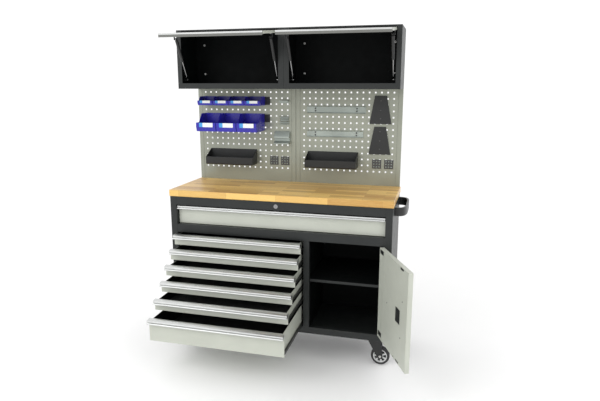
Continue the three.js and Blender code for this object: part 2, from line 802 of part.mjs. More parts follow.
function binSet(bins) {
  const { count, width, depth, height, left, up } = bins;
  const pitch = width + BIN_GAP;
  const boxes = [];
  for (let i = 0; i < count; i += 1) {
    const x = left + i * pitch;
    const outer = prism("x", binOutline(bins), [x, x + width]);
    const room = prism("x", binRoom(bins), [x + BIN_WALL, x + width - BIN_WALL]);
    boxes.push(cut(outer, room));
  }
  const right = left + count * pitch - BIN_GAP;
  const strip = block([left, right], [-BIN_WALL, 0], [height - BIN_STRIP, height]);
  const set = join(strip, ...boxes);
  return set.translate(0, wallFront - BIN_RAIL_THICK - 2 * FIT, wallBottom + up);
}

function binRail({ right, up, height }, { left }) {
  const low = wallBottom + up;
  return block([left, right], [wallFront - FIT - BIN_RAIL_THICK, wallFront - FIT], [low, low + height]);
}

function tray(left) {
  const { width, depth, backHeight, frontHeight, wall, toe, up } = TRAY;
  const outline = [
    [0, 0],
    [-depth + toe, 0],
    [-depth, toe],
    [-depth, frontHeight],
    [0, backHeight],
  ];
  const roomOutline = [
    [-wall, wall],
    [-depth + toe, wall],
    [-depth + wall, toe],
    [-depth + wall, backHeight],
    [-wall, backHeight],
  ];
  const body = prism("x", outline, [left, left + width]);
  const room = prism("x", roomOutline, [left + wall, left + width - wall]);
  return cut(body, room).translate(0, wallFront - FIT, wallBottom + up);
}

function toolHolder(up) {
  const { x, top, bottom, height, thick } = HOLDER;
  const low = wallBottom + up;
  const outline = [
    [x - bottom / 2, low],
    [x + bottom / 2, low],
    [x + top / 2, low + height],
    [x - top / 2, low + height],
  ];
  const plate = prism("y", outline, [wallFront - FIT - thick, wallFront - FIT]);
  const holes = HOLDER_HOLES.map((drop) =>
    rod("y", HOLDER_HOLE, [wallFront - 2 * thick, wallFront], [x, 0, low + height - drop], SMALL_SIDES)
  );
  return cut(plate, ...holes);
}

function addBase() {
  place("base_left_side", baseSide(-1), charcoal);
  const lugs = [doorLug(bankBottom + lugPlay), doorLug(bankTop - lugPlay - LUG)];
  place("base_right_side", join(baseSide(1), ...lugs), charcoal);
  place("base_back", block([-inner, inner], [back - SHEET, back], [BASE_BOTTOM, baseTop]), charcoal);
  const plates = [-1, 1].map((sign) => casterPlate(casterX, sign * casterY, plateTop));
  place("base_bottom", join(deckWithRail(BASE_BOTTOM, BOTTOM_RAIL), ...plates), charcoal);
  const runners = [...deckRunner(-1), ...deckRunner(1)];
  place("base_middle_deck", join(deckWithRail(bankTop, MIDDLE_RAIL), ...runners), charcoal);
  place("base_top_rail", topRail(), charcoal);
  place("base_divider", divider(), charcoal);
}

function worktop() {
  const edge = front - TOP_FRONT_OVERHANG;
  const corner = TOP_ROUND * (1 - Math.SQRT1_2);
  const outline = [
    [edge, topBottom + TOP_ROUND],
    [edge + corner, topBottom + corner],
    [edge + TOP_ROUND, topBottom],
    [back, topBottom],
    [back, worktopTop - WALL_REBATE],
    [wallFront - FIT, worktopTop - WALL_REBATE],
    [wallFront - FIT, worktopTop],
    [edge + TOP_ROUND, worktopTop],
    [edge + corner, worktopTop - corner],
    [edge, worktopTop - TOP_ROUND],
  ];
  return prism("x", outline, [-half - TOP_SIDE_OVERHANG, half + TOP_SIDE_OVERHANG]);
}

function addDrawers() {
  const bankWidth = DIVIDER_X + opening - 2 * DRAWER_SIDE_GAP;
  const bankCentre = (DIVIDER_X - opening) / 2;
  const deepBottom = bankBottom + DRAWER_LIFT;
  const smallBottom = deepBottom + DEEP_PANEL + PULL_HEIGHT + DEEP_GAP;
  const heights = DRAWER_OPEN.map((_, i) => smallBottom + (smallCount - 1 - i) * smallPitch);
  heights[smallCount] = deepBottom;
  DRAWER_OPEN.forEach((out, i) => {
    const panelHeight = i === smallCount ? DEEP_PANEL : smallPanel;
    addDrawer(`drawer_${i + 1}`, bankCentre, bankWidth, heights[i], panelHeight, out);
  });
  addDrawer("top_drawer", 0, 2 * (opening - DRAWER_SIDE_GAP), deckTop + DRAWER_LIFT, topPanel, 0);
  const boxSide = bankWidth / 2 - BOX_INSET;
  place("drawer_runners_left", ladder(bankCentre - boxSide, -1, -inner, heights), steel);
  place("drawer_runners_middle", ladder(bankCentre + boxSide, 1, webX - SHEET / 2 - FIT, heights), steel);
}

function addCupboard() {
  const hinge = groupAt(doorPivotX, doorPivotY, doorBottom);
  hinge.rotation.z = radians(DOOR_OPEN);
  place("door_panel", doorPanel(), lightGrey, hinge);
  place("door_grip", doorGrip(), blackPlastic, hinge);
  place("cupboard_shelf", cupboardShelf(), charcoal);
}

addBase();
place("worktop", worktop(), wood);
addDrawers();
addCupboard();
place("lock_cylinder", lockCylinder(), steel);
place("push_handle", pushHandle(), blackPlastic);
addCasters();
addUpper("left", -1);
addUpper("right", 1);
place("small_bin_rail", binRail(SMALL_RAIL, SMALL_BINS), blackPlastic);
place("small_bins", binSet(SMALL_BINS), bluePlastic);
place("large_bin_rail", binRail(LARGE_RAIL, LARGE_BINS), blackPlastic);
place("large_bins", binSet(LARGE_BINS), bluePlastic);
place("tray_left", tray(TRAY_LEFT_X), blackPlastic);
place("tray_right", tray(TRAY_RIGHT_X), blackPlastic);
place("tool_holder_upper", toolHolder(HOLDER_UP[0]), blackPlastic);
place("tool_holder_lower", toolHolder(HOLDER_UP[1]), blackPlastic);

export default bench;
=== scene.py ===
"""Looks of the mobile workshop bench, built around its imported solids. Lengths are in metres."""
import json
import math

import bmesh
import bpy
from mathutils import Matrix, Vector


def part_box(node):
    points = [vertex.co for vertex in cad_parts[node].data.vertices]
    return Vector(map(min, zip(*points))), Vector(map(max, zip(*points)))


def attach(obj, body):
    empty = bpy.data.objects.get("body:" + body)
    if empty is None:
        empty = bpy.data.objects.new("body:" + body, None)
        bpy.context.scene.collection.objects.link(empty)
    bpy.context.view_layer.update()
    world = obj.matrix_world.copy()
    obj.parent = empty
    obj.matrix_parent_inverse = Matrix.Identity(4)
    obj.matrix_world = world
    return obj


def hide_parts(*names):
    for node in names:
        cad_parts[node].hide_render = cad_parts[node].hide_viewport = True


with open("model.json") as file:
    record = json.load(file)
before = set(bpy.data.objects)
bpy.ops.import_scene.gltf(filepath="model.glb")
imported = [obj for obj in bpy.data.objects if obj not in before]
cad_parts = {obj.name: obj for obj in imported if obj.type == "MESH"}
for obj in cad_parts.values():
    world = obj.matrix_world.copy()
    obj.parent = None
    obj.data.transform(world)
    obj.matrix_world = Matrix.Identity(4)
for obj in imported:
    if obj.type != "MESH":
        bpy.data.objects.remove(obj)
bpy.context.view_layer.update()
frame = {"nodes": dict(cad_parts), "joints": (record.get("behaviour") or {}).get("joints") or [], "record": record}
scene = bpy.context.scene
MM = 0.001
BODIES = frame["record"]["behaviour"]["bodies"]
BODY_OF = {node: body for body, nodes in BODIES.items() for node in nodes}
JOINTS = {joint["name"]: joint for joint in frame["joints"]}
DRAWERS = [f"drawer_{i}" for i in range(1, 7)] + ["top_drawer"]
SIDES = {"left": -1, "right": 1}

# Camera, from the wall's hole grid and the edges of the base
CAMERA_PLACE = (0.90786, -3.15617, 1.64785)
CAMERA_TILT = 77.764
CAMERA_YAW = 14.622
CAMERA_LENS = 32.06
SENSOR = 36.0

# Studio floor and light
FLOOR_REACH = 14
FLOOR_WHITE = (0.97, 0.97, 0.97)
WORLD_STRENGTH = 1.08
LIGHT_TARGET = (0, 0, 0.9)

# Patterns of paint and brushed metal: their scales and the depth of their bumps
NOISE_RANGE = (0.3, 0.7)
PAINT_DRIFT = 6
PAINT_SMEAR = 25
PAINT_BUMP = 0.4 * MM
BRUSH_LINES = 400
BRUSH_BUMP = 0.2 * MM

# Staves of the worktop
STAVE_LENGTH = 310 * MM
STAVE_WIDTH = 43 * MM
STAVE_JOINT = 0.6 * MM
STAVE_STAGGER = 0.37
STAVE_PALE = (1.0, 0.66, 0.19)
STAVE_DARK = (0.44, 0.205, 0.028)
JOINT_BROWN = (0.26, 0.12, 0.035)
GRAIN_STRETCH = (2.2, 42, 42)
GRAIN_PALE = (1.0, 0.73, 0.28)
PORE_STRETCH = (6, 160, 160)
PORE_BROWN = (0.36, 0.17, 0.05)
PORE_BUMP = 0.3 * MM

# Drawer mat
MAT_RIBS = 120
MAT_DARK = (0.008, 0.009, 0.009)
MAT_DUST = (0.02, 0.021, 0.021)
MAT_BUMP = 0.8 * MM

# Meshes: corners of a box's faces, a domed head as shares of its radius and height, and limits
BOX_FACES = ((0, 1, 3, 2), (4, 6, 7, 5), (0, 4, 5, 1), (2, 3, 7, 6), (0, 2, 6, 4), (1, 5, 7, 3))
HEAD_PROFILE = ((1, 0), (1, 0.45), (0.82, 0.85), (0.45, 1))
HEAD_RECESS = (0.36, 0.5)
SHARP_ANGLE = math.radians(35)
FLAT_ANGLE = math.radians(1)
SAME_POINT = 1e-5

# Drawer box, measured from the sides, the front and the lower edge of its drawer
BOX_INSET = 13 * MM
BOX_FRONT = 10 * MM
BOX_BACK = 445 * MM
BOX_WALL = 1.5 * MM
BOX_FLOOR = 3 * MM
BOX_RIM_DROP = 0.6 * MM
MAT_THICK = 2 * MM
# Thickness of the near-black inner walls of painted shade
SHADE_WALL_THICK = 0.5 * MM

# Drawer slides, measured from the front and the lower edge of their drawer
SLIDE_REACH = 11.2 * MM
SLIDE_ENDS = (14.8 * MM, 446.8 * MM)
SLIDE_CENTRE = 14 * MM
SLIDE_HALF = 7.15 * MM
SLIDE_RIVETS = [(60 + 85 * step) * MM for step in range(5)]
SLIDE_RIVET_RISE = 13 * MM
SLIDE_RIVET_GAP = 0.2 * MM

# Door at rest, swung open about its pivot
DOOR_OPEN = math.radians(115)
DOOR_THICK = 24 * MM

# Inside of the door, in millimetres from its hinge and above the floor
DOOR_RIBS = (30, 88)
DOOR_RIB_HALF = 1.6
DOOR_EDGE_FOLDS = ((8, 12), (424, 433))
DOOR_FIELDS = (126, 268, 339, 424)
DOOR_SCREWS = ((143, 479), (365, 575), (353, 372), (265, 224))
DOOR_PLATES = ((324, 367, 736, 747), (297, 342, 219, 229), (10, 65, 722, 745), (10, 65, 232, 258))

# Wheels
SEAT_SHARE = 0.74
HUB_RADIUS = 15 * MM
BORE_RADIUS = 6.3 * MM
RIM_DEPTH = 5 * MM
SPOKES = 7
SPOKE_HALF = 4.5 * MM
WEB_HALF = 4 * MM
WHEEL_SEGMENTS = 48
NUT_OUT = 24 * MM

# Wall holes, sheet, corner posts and the folds behind the gaps beside the posts
HOLE = 10 * MM
HOLE_PITCH = 38 * MM
HOLE_FIRST_X = 55 * MM
HOLE_TOP_Z = 1600 * MM
HOLE_COLUMNS = 16
HOLE_ROWS = 14
WALL_SHEET = 2 * MM
POST_WIDTH = 27 * MM
POST_GAP = 1.2 * MM
FOLD_WIDTH = 10 * MM
FOLD_GAP = 0.1 * MM

# Bin labels: their ends as shares of a bin's width, and the blue tab as a share of its label
LABEL_START = 0.16
LABEL_END = 0.86
LABEL_TAB = 0.26
LABEL_PROUD = 0.6 * MM
LABEL_SUNK = 0.3 * MM

# Outlines of the small holders in millimetres: depth from the wall, and height above the floor
HOLDER_HOOK = ((0, 1545), (-34, 1543), (-36, 1548), (-38, 1548), (-37, 1540), (-2, 1541.5), (-2, 1530),
               (0, 1530))
HOLDER_STEP = ((0, 1350), (-8, 1350), (-30, 1316), (-30, 1308), (-12, 1306), (-12, 1288), (-40, 1276),
               (-40, 1268), (0, 1268))
HOLDER_BARS = (1396, 1411, 1426, 1441)

# Peg plates: their left edges in millimetres, their size, and the places of their pegs as shares of it
PEG_PLATES = (-177, -102, 501, 577)
PEG_PLATE_SIZE = 57 * MM
PEG_PLATE_THICK = 4 * MM
PEG_PLATE_BOTTOM = 1127 * MM
PEG_SHARES = (0.2, 0.5, 0.8)

# Ends of a lid and of its strip, measured from the middle of the bench, and the skin of paint on the ends
LID_ENDS = (35.5 * MM, 649.5 * MM)
LID_SKIN = 0.25 * MM
STRIP_ENDS = (36 * MM, 649 * MM)

# Grip strip of a lid, measured from the hinge: through the lid, and along it
STRIP_FACE = -8.4 * MM
STRIP_BACK = -7.9 * MM
STRIP_EDGE = -288.4 * MM
STRIP_TURN = -284 * MM
STRIP_END = -270 * MM
BRACKET_BASE = 8 * MM
BRACKET_TOP = 9.2 * MM


# Materials


def new_material(name):
    material = bpy.data.materials.new(name)
    material.use_nodes = True
    tree = material.node_tree
    return material, tree.nodes, tree.links, tree.nodes["Principled BSDF"]


def object_coordinates(nodes, links, stretch=(1, 1, 1)):
    place = nodes.new("ShaderNodeTexCoord")
    mapping = nodes.new("ShaderNodeMapping")
    mapping.inputs["Scale"].default_value = stretch
    links.new(place.outputs["Object"], mapping.inputs["Vector"])
    return mapping.outputs["Vector"]


def noise(nodes, links, vector, scale, detail, roughness=0.5):
    texture = nodes.new("ShaderNodeTexNoise")
    texture.inputs["Scale"].default_value = scale
    texture.inputs["Detail"].default_value = detail
    texture.inputs["Roughness"].default_value = roughness
    links.new(vector, texture.inputs["Vector"])
    return texture.outputs["Fac"]


def between(nodes, links, factor, low, high):
    """Noise spread out over the values from low to high."""
    mapper = nodes.new("ShaderNodeMapRange")
    mapper.inputs["From Min"].default_value = NOISE_RANGE[0]
    mapper.inputs["From Max"].default_value = NOISE_RANGE[1]
    mapper.inputs["To Min"].default_value = low
    mapper.inputs["To Max"].default_value = high
    links.new(factor, mapper.inputs["Value"])
    return mapper.outputs["Result"]


def mixed(nodes, links, factor, first, second):
    mix = nodes.new("ShaderNodeMix")
    mix.data_type = "RGBA"
    links.new(factor, mix.inputs["Factor"])
    for socket, colour in ((mix.inputs["A"], first), (mix.inputs["B"], second)):
        if hasattr(colour, "is_linked"):
            links.new(colour, socket)
        else:
            socket.default_value = (*colour, 1)
    return mix.outputs["Result"]


def bumped(nodes, links, height, bsdf, strength, distance):
    bump = nodes.new("ShaderNodeBump")
    bump.inputs["Strength"].default_value = strength
    bump.inputs["Distance"].default_value = distance
    links.new(height, bump.inputs["Height"])
    links.new(bump.outputs["Normal"], bsdf.inputs["Normal"])


def scaled(colour, amount):
    return tuple(channel * amount for channel in colour)


def coated(name, colour, roughness, grain, bump, metallic=0.0, variation=0.12, coat=0.0, specular=0.5):
    """Powder coat or moulded plastic: soft colour drift, uneven gloss and a fine orange-peel bump."""
    material, nodes, links, bsdf = new_material(name)
    vector = object_coordinates(nodes, links)
    drift = between(nodes, links, noise(nodes, links, vector, PAINT_DRIFT, 4), 0, 1)
    darker, paler = scaled(colour, 1 - variation), scaled(colour, 1 + variation)
    links.new(mixed(nodes, links, drift, darker, paler), bsdf.inputs["Base Color"])
    smear = noise(nodes, links, vector, PAINT_SMEAR, 5)
    links.new(between(nodes, links, smear, roughness - 0.05, roughness + 0.06), bsdf.inputs["Roughness"])
    bsdf.inputs["Metallic"].default_value = metallic
    bsdf.inputs["Specular IOR Level"].default_value = specular
    bsdf.inputs["Coat Weight"].default_value = coat
    bsdf.inputs["Coat Roughness"].default_value = 0.25
    bumped(nodes, links, noise(nodes, links, vector, grain, 2), bsdf, bump, PAINT_BUMP)
    return material


def brushed(name, colour, roughness, stretch):
    """Metal drawn or brushed along one axis."""
    material, nodes, links, bsdf = new_material(name)
    vector = object_coordinates(nodes, links, stretch)
    lines = noise(nodes, links, vector, BRUSH_LINES, 4)
    darker, paler = scaled(colour, 0.88), scaled(colour, 1.08)
    tone = between(nodes, links, lines, 0, 1)
    links.new(mixed(nodes, links, tone, darker, paler), bsdf.inputs["Base Color"])
    links.new(between(nodes, links, lines, roughness - 0.06, roughness + 0.1), bsdf.inputs["Roughness"])
    bsdf.inputs["Metallic"].default_value = 1.0
    bumped(nodes, links, lines, bsdf, 0.12, BRUSH_BUMP)
    return material


def stave_colours(nodes, links):
    """Staggered staves along x, each with its own tone, that run on over the worktop's edges."""
    place = nodes.new("ShaderNodeTexCoord")
    split = nodes.new("ShaderNodeSeparateXYZ")
    links.new(place.outputs["Object"], split.inputs["Vector"])
    across = nodes.new("ShaderNodeMath")
    across.operation = "ADD"
    links.new(split.outputs["Y"], across.inputs[0])
    links.new(split.outputs["Z"], across.inputs[1])
    joined = nodes.new("ShaderNodeCombineXYZ")
    links.new(split.outputs["X"], joined.inputs["X"])
    links.new(across.outputs["Value"], joined.inputs["Y"])
    staves = nodes.new("ShaderNodeTexBrick")
    staves.offset = STAVE_STAGGER
    settings = {"Scale": 1.0, "Brick Width": STAVE_LENGTH, "Row Height": STAVE_WIDTH,
                "Mortar Size": STAVE_JOINT, "Mortar Smooth": 0.4, "Bias": 0.0,
                "Color1": (*STAVE_PALE, 1), "Color2": (*STAVE_DARK, 1), "Mortar": (*JOINT_BROWN, 1)}
    for name, value in settings.items():
        staves.inputs[name].default_value = value
    links.new(joined.outputs["Vector"], staves.inputs["Vector"])
    return staves.outputs["Color"]


def butcher_block(name):
    """Finger-jointed hardwood: staves with long grain and darker pores."""
    material, nodes, links, bsdf = new_material(name)
    staves = stave_colours(nodes, links)
    grain = noise(nodes, links, object_coordinates(nodes, links, GRAIN_STRETCH), 5, 8, 0.62)
    grained = mixed(nodes, links, between(nodes, links, grain, 0, 0.4), staves, GRAIN_PALE)
    pores = noise(nodes, links, object_coordinates(nodes, links, PORE_STRETCH), 9, 3)
    pore_mask = between(nodes, links, pores, 0.0, 0.35)
    links.new(mixed(nodes, links, pore_mask, grained, PORE_BROWN), bsdf.inputs["Base Color"])
    links.new(between(nodes, links, grain, 0.32, 0.46), bsdf.inputs["Roughness"])
    bsdf.inputs["Coat Weight"].default_value = 0.12
    bsdf.inputs["Coat Roughness"].default_value = 0.3
    bumped(nodes, links, pores, bsdf, 0.15, PORE_BUMP)
    return material


def rubber_mat(name):
    """Black ribbed drawer liner."""
    material, nodes, links, bsdf = new_material(name)
    vector = object_coordinates(nodes, links)
    ribs = nodes.new("ShaderNodeTexWave")
    ribs.bands_direction = "Y"
    ribs.inputs["Scale"].default_value = MAT_RIBS
    links.new(vector, ribs.inputs["Vector"])
    dust = between(nodes, links, noise(nodes, links, vector, 30, 5), 0, 1)
    links.new(mixed(nodes, links, dust, MAT_DARK, MAT_DUST), bsdf.inputs["Base Color"])
    bsdf.inputs["Roughness"].default_value = 0.75
    bumped(nodes, links, ribs.outputs["Fac"], bsdf, 0.5, MAT_BUMP)
    return material


CHARCOAL = coated("charcoal_coat", (0.019, 0.0215, 0.021), 0.42, grain=900, bump=0.2,
                  coat=0.04, specular=0.32)
# Near-black paint for sheets inside the cupboard, the wall cabinets and the drawers: painted shade where the
# inside is only in shadow
SHADE_BLACK = coated("painted_shade_black_coat", (0.004, 0.005, 0.005), 0.6, grain=900, bump=0.2, specular=0.12)
LIGHT_GREY = coated("light_grey_coat", (0.50, 0.52, 0.455), 0.36, grain=900, bump=0.15,
                    variation=0.04, coat=0.2)
WALL_GREY = coated("wall_grey_coat", (0.315, 0.33, 0.275), 0.33, grain=900, bump=0.15,
                   metallic=0.45, variation=0.06)
BLACK_METAL = coated("black_satin_coat", (0.010, 0.011, 0.011), 0.4, grain=800, bump=0.15, coat=0.1)
BLACK_PLASTIC = coated("black_moulded", (0.012, 0.013, 0.013), 0.5, grain=1500, bump=0.3)
BLUE_PLASTIC = coated("royal_blue_moulded", (0.016, 0.010, 0.36), 0.3, grain=1200, bump=0.08,
                      variation=0.1, coat=0.2)
RUBBER = coated("grey_black_rubber", (0.022, 0.022, 0.023), 0.72, grain=1800, bump=0.3)
RIM_GREY = coated("pale_rim_moulded", (0.62, 0.63, 0.63), 0.35, grain=1500, bump=0.1, variation=0.05)
LABEL_WHITE = coated("label_white", (0.86, 0.87, 0.86), 0.45, grain=2500, bump=0.1, variation=0.02)
LABEL_BLUE = coated("label_blue", (0.06, 0.33, 0.72), 0.45, grain=2500, bump=0.1, variation=0.04)
GALVANISED = coated("galvanised_sheet", (0.33, 0.37, 0.34), 0.38, grain=160, bump=0.15,
                    metallic=0.4, variation=0.18)
ALUMINIUM = brushed("satin_aluminium", (0.68, 0.69, 0.68), 0.3, (0.02, 1, 1))
# Light grey paint darkened as painted shade, for the band along a lid's free edge
LID_SHADE_GREY = coated("lid_edge_painted_shade", (0.15, 0.152, 0.14), 0.4, grain=900, bump=0.15, variation=0.05)
ZINC = coated("bright_zinc", (0.8, 0.8, 0.78), 0.25, grain=1500, bump=0.1, metallic=0.3, variation=0.05)
STEEL = brushed("zinc_steel", (0.62, 0.62, 0.60), 0.28, (1, 0.05, 1))
CHROME = brushed("polished_rod", (0.30, 0.30, 0.30), 0.18, (1, 1, 0.05))
DARK_STEEL = brushed("dark_slide_steel", (0.10, 0.10, 0.10), 0.35, (1, 0.03, 1))
WOOD = butcher_block("finger_jointed_wood")
LINER = rubber_mat("drawer_liner")


# Mesh helpers


def add_box(bm, low, high, turn=None):
    xs, ys, zs = zip(low, high)
    corners = [Vector((x, y, z)) for x in xs for y in ys for z in zs]
    verts = [bm.verts.new(turn @ corner if turn else corner) for corner in corners]
    for face in BOX_FACES:
        bm.faces.new([verts[i] for i in face])


def add_ring(bm, place, radius, height, segments):
    angles = [2 * math.pi * i / segments for i in range(segments)]
    points = [Vector((radius * math.cos(a), radius * math.sin(a), height)) for a in angles]
    return [bm.verts.new(place @ point) for point in points]


def join_rings(bm, lower, upper):
    for i in range(len(lower)):
        j = (i + 1) % len(lower)
        bm.faces.new([lower[i], lower[j], upper[j], upper[i]])


def add_lathe(bm, profile, place, segments):
    """Closed profile of (radius, height) points, turned about the local z axis of place."""
    rings = [add_ring(bm, place, radius, height, segments) for radius, height in profile]
    for lower, upper in zip(rings, rings[1:] + rings[:1]):
        join_rings(bm, lower, upper)


def add_disc_head(bm, radius, height, place, segments=20, recess=True):
    """Domed head of a screw, rivet or nut on the local xy plane, with a round recess or a flat top."""
    rings = [add_ring(bm, place, radius * r, height * h, segments) for r, h in HEAD_PROFILE]
    for lower, upper in zip(rings, rings[1:]):
        join_rings(bm, lower, upper)
    bm.faces.new(list(reversed(rings[0])))
    top = rings[-1]
    if recess:
        top = add_ring(bm, place, radius * HEAD_RECESS[0], height * HEAD_RECESS[1], segments)
        join_rings(bm, rings[-1], top)
    bm.faces.new(top)


def add_strip(bm, wall, outline, x0, x1):
    """Prism from x0 to x1 of an outline of (depth from the wall, height) points, all in millimetres."""
    near, far = [[bm.verts.new((x * MM, wall + y * MM, z * MM)) for y, z in outline] for x in (x0, x1)]
    bm.faces.new(near)
    bm.faces.new(list(reversed(far)))
    for i in range(len(outline)):
        j = (i + 1) % len(outline)
        bm.faces.new([near[j], near[i], far[i], far[j]])


def soften(piece, width):
    bevel = piece.modifiers.new("soft_edges", "BEVEL")
    bevel.width = width
    bevel.segments = 2
    bevel.limit_method = "ANGLE"
    bevel.angle_limit = SHARP_ANGLE
    bevel.use_clamp_overlap = True
    normals = piece.modifiers.new("flat_normals", "WEIGHTED_NORMAL")
    normals.keep_sharp = False


def shade(mesh):
    mesh.polygons.foreach_set("use_smooth", [True] * len(mesh.polygons))
    mesh.set_sharp_from_angle(angle=SHARP_ANGLE)


def finish_piece(name, bm, material, body, bevel=0.0, replaced=()):
    bmesh.ops.recalc_face_normals(bm, faces=bm.faces)
    mesh = bpy.data.meshes.new(name)
    bm.to_mesh(mesh)
    bm.free()
    mesh.materials.append(material)
    shade(mesh)
    piece = bpy.data.objects.new(name, mesh)
    scene.collection.objects.link(piece)
    if bevel:
        soften(piece, bevel)
    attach(piece, body)
    if replaced:
        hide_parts(*replaced)


def skin(node, material, bevel=0.8 * MM):
    """The node's own shape with softened edges, in place of the node."""
    bm = bmesh.new()
    bm.from_mesh(frame["nodes"][node].data)
    bmesh.ops.remove_doubles(bm, verts=bm.verts, dist=SAME_POINT)
    bmesh.ops.dissolve_limit(bm, angle_limit=FLAT_ANGLE, verts=bm.verts, edges=bm.edges)
    finish_piece(f"{node}_skin", bm, material, BODY_OF[node], bevel, [node])


def facing(direction, place):
    """Matrix that stands a local z axis along direction at place."""
    return Matrix.Translation(place) @ Vector(direction).to_track_quat("Z", "Y").to_matrix().to_4x4()


# Base cabinet, worktop, push handle and lock


def dress_base():
    for node in ("base_left_side", "base_right_side", "base_back", "base_bottom", "base_middle_deck",
                 "base_top_rail", "base_divider"):
        skin(node, CHARCOAL)
    skin("cupboard_shelf", CHARCOAL)
    skin("worktop", WOOD, bevel=2.5 * MM)
    skin("push_handle", BLACK_METAL, bevel=1.5 * MM)
    skin("lock_cylinder", CHROME, bevel=0.4 * MM)
    skin("drawer_runners_left", DARK_STEEL, bevel=0)
    skin("drawer_runners_middle", DARK_STEEL, bevel=0)


def add_back_rivets():
    """Rivets round the edge of the back sheet, sunk into it."""
    low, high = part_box("base_back")
    columns, rows = 10, 6
    inset = 14 * MM
    depth = 1.5 * MM
    x0, x1 = low.x + inset, high.x - inset
    z0, z1 = low.z + inset, high.z - inset
    spots = [(x0 + (x1 - x0) * i / columns, z) for i in range(columns + 1) for z in (z0, z1)]
    spots += [(x, z0 + (z1 - z0) * j / rows) for j in range(1, rows) for x in (x0, x1)]
    bm = bmesh.new()
    for x, z in spots:
        add_disc_head(bm, 4 * MM, depth, facing((0, 1, 0), (x, high.y - depth, z)), segments=14)
    finish_piece("base_back_rivets", bm, DARK_STEEL, "bench")


def add_cupboard_painted_shade():
    """Near-black sheets inside the cupboard as painted shade: back, both walls, floor and ceiling, above and below
    the shelf.
    """
    shelf_low, shelf_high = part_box("cupboard_shelf")
    thin = 0.3 * MM
    gap = 0.1 * MM
    sheet = 2 * MM
    x0, x1 = shelf_low.x + gap, shelf_high.x - gap
    y0, y1 = shelf_low.y + gap, shelf_high.y - gap
    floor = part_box("base_bottom")[0].z + sheet + gap
    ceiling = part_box("base_divider")[1].z - gap
    rooms = {"lower": (floor, shelf_low.z - gap), "upper": (shelf_high.z + gap, ceiling)}
    for name, (z0, z1) in rooms.items():
        bm = bmesh.new()
        add_box(bm, (x0, y1 - thin, z0), (x1, y1, z1))
        add_box(bm, (x0, y0, z0), (x0 + thin, y1 - thin, z1))
        add_box(bm, (x1 - thin, y0, z0), (x1, y1 - thin, z1))
        add_box(bm, (x0 + thin, y0, z0), (x1 - thin, y1 - thin, z0 + thin))
        add_box(bm, (x0 + thin, y0, z1 - thin), (x1 - thin, y1 - thin, z1))
        finish_piece(f"cupboard_{name}_shade_sheets", bm, SHADE_BLACK, "bench")


# Drawers


def add_drawer_mat_and_painted_shade(name):
    """Black ribbed mat, and near-black inner walls as painted shade."""
    low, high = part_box(name)
    thin = SHADE_WALL_THICK
    x0, x1 = low.x + BOX_INSET + BOX_WALL, high.x - BOX_INSET - BOX_WALL
    y0, y1 = low.y + BOX_FRONT + BOX_WALL, low.y + BOX_BACK - BOX_WALL
    floor = low.z + BOX_FLOOR
    mat_top = floor + MAT_THICK
    rim = high.z - BOX_RIM_DROP
    bm = bmesh.new()
    add_box(bm, (x0, y0, floor), (x1, y1, mat_top))
    finish_piece(f"{name}_mat", bm, LINER, name)
    # Inner walls in near-black paint as painted shade
    bm = bmesh.new()
    add_box(bm, (x0, y0, mat_top), (x0 + thin, y1, rim))
    add_box(bm, (x1 - thin, y0, mat_top), (x1, y1, rim))
    add_box(bm, (x0 + thin, y1 - thin, mat_top), (x1 - thin, y1, rim))
    add_box(bm, (x0 + thin, y0, mat_top), (x1 - thin, y0 + thin, rim))
    finish_piece(f"{name}_painted_shade_walls", bm, SHADE_BLACK, name)


def add_drawer_slides(name):
    """Dark slide members on both sides, with a line of rivets."""
    low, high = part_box(name)
    y0, y1 = [low.y + end for end in SLIDE_ENDS]
    centre = low.z + SLIDE_CENTRE
    bm = bmesh.new()
    rivets = bmesh.new()
    for outward, edge in ((-1, low.x + BOX_INSET), (1, high.x - BOX_INSET)):
        x0, x1 = sorted((edge, edge + outward * SLIDE_REACH))
        add_box(bm, (x0, y0, centre - SLIDE_HALF), (x1, y1, centre + SLIDE_HALF))
        for along in SLIDE_RIVETS:
            spot = (edge + outward * SLIDE_RIVET_GAP, low.y + along, centre + SLIDE_RIVET_RISE)
            add_disc_head(rivets, 2.2 * MM, 0.9 * MM, facing((outward, 0, 0), spot), segments=12)
    finish_piece(f"{name}_slides", bm, DARK_STEEL, name, bevel=0.1 * MM)
    finish_piece(f"{name}_rivets", rivets, STEEL, name)


def dress_drawers():
    for name in DRAWERS:
        skin(name, LIGHT_GREY, bevel=0.5 * MM)
        skin(f"{name}_pull", ALUMINIUM, bevel=0.9 * MM)
        add_drawer_mat_and_painted_shade(name)
        add_drawer_slides(name)


# Cupboard door, drawn closed and then turned to its place at rest


def door_place():
    pivot = JOINTS["door_hinge"]["pos_m"]
    return Matrix.Translation((pivot[0], pivot[1], 0)) @ Matrix.Rotation(DOOR_OPEN, 4, "Z")


def add_door_pad(bm, across, heights, top, base=0.0):
    """Flat box on the door's inner face: across in millimetres from the hinge, the rest in metres."""
    low = (-across[1] * MM, DOOR_THICK + base, heights[0])
    high = (-across[0] * MM, DOOR_THICK + top, heights[1])
    add_box(bm, low, high, door_place())


